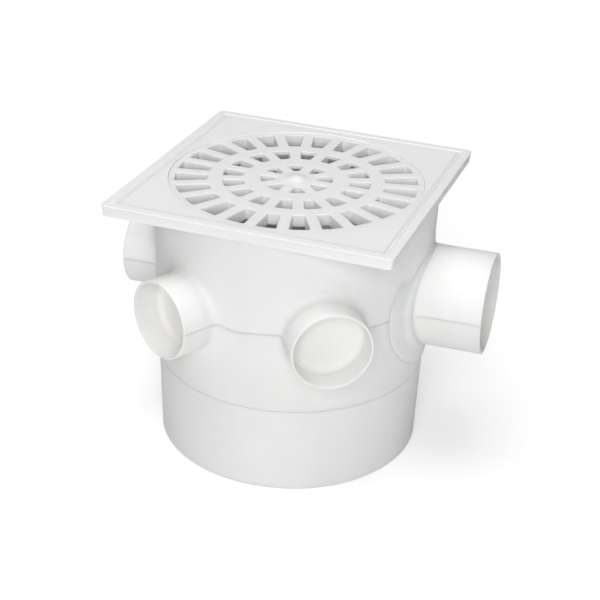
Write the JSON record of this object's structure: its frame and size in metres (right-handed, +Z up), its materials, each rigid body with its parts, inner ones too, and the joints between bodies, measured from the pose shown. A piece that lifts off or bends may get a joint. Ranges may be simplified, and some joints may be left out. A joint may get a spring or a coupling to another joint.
{
  "type": "gully trap",
  "caption": "Plastic floor gully trap: round tapered body with a side outlet and closed branch sockets, a dip-tube water seal inside, and a square cover with a round slotted grate.",
  "frame": {"origin": "centre of the flat foot, on the body's axis", "axes": "+Z up along the body's axis, +X out along the outlet tube, Y across"},
  "size_m": [0.2053, 0.1842, 0.153],
  "materials": {
    "white_pvc": "satin",
    "seal_rubber": "matte"
  },
  "bodies": {
    "root": {"lower_cup": "white_pvc", "upper_body": "white_pvc", "cover_frame": "white_pvc", "grate": "white_pvc", "trap_plug": "white_pvc", "plug_seal": "seal_rubber"}
  },
  "joints": []
}
